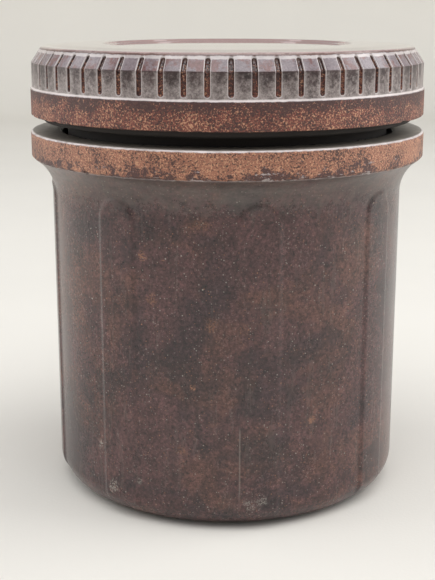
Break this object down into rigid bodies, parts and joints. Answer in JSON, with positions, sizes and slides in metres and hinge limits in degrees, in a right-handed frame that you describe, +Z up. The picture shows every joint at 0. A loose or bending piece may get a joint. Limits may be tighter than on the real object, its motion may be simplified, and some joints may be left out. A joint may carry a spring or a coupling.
{
  "type": "butter crock",
  "caption": "Round moulded butter crock with a flanged mouth, raised wall strips and a fluted screw lid that seals on a rubber ring.",
  "frame": {"origin": "middle of the flat face that the crock stands on", "axes": "+Z up along the crock's axis, -Y towards the front"},
  "size_m": [0.1306, 0.1306, 0.148],
  "materials": {
    "crock_resin": "satin moulded phenolic resin with wood-flour filler, dark purple-brown",
    "lid_resin": "satin moulded phenolic resin with wood-flour filler, worn grey-brown",
    "ring_rubber": "matt aged black rubber"
  },
  "bodies": {
    "crock": {"crock_body": "crock_resin"},
    "seal": {"sealing_ring": "ring_rubber"},
    "cover": {"lid": "lid_resin"}
  },
  "joints": [
    {"name": "lid_rise", "type": "slide", "parent": "crock", "child": "seal", "axis": [0, 0, 1], "range_m": [-0.0025, 0.08]},
    {"name": "lid_turn", "type": "hinge", "parent": "seal", "child": "cover", "pos_m": [0, 0, 0.12], "axis": [0, 0, 1], "range_deg": [-149, 4799]}
  ],
  "couplings": [
    {"joint": "lid_rise", "follows": "lid_turn", "m_per_rad": 0.00095493}
  ]
}
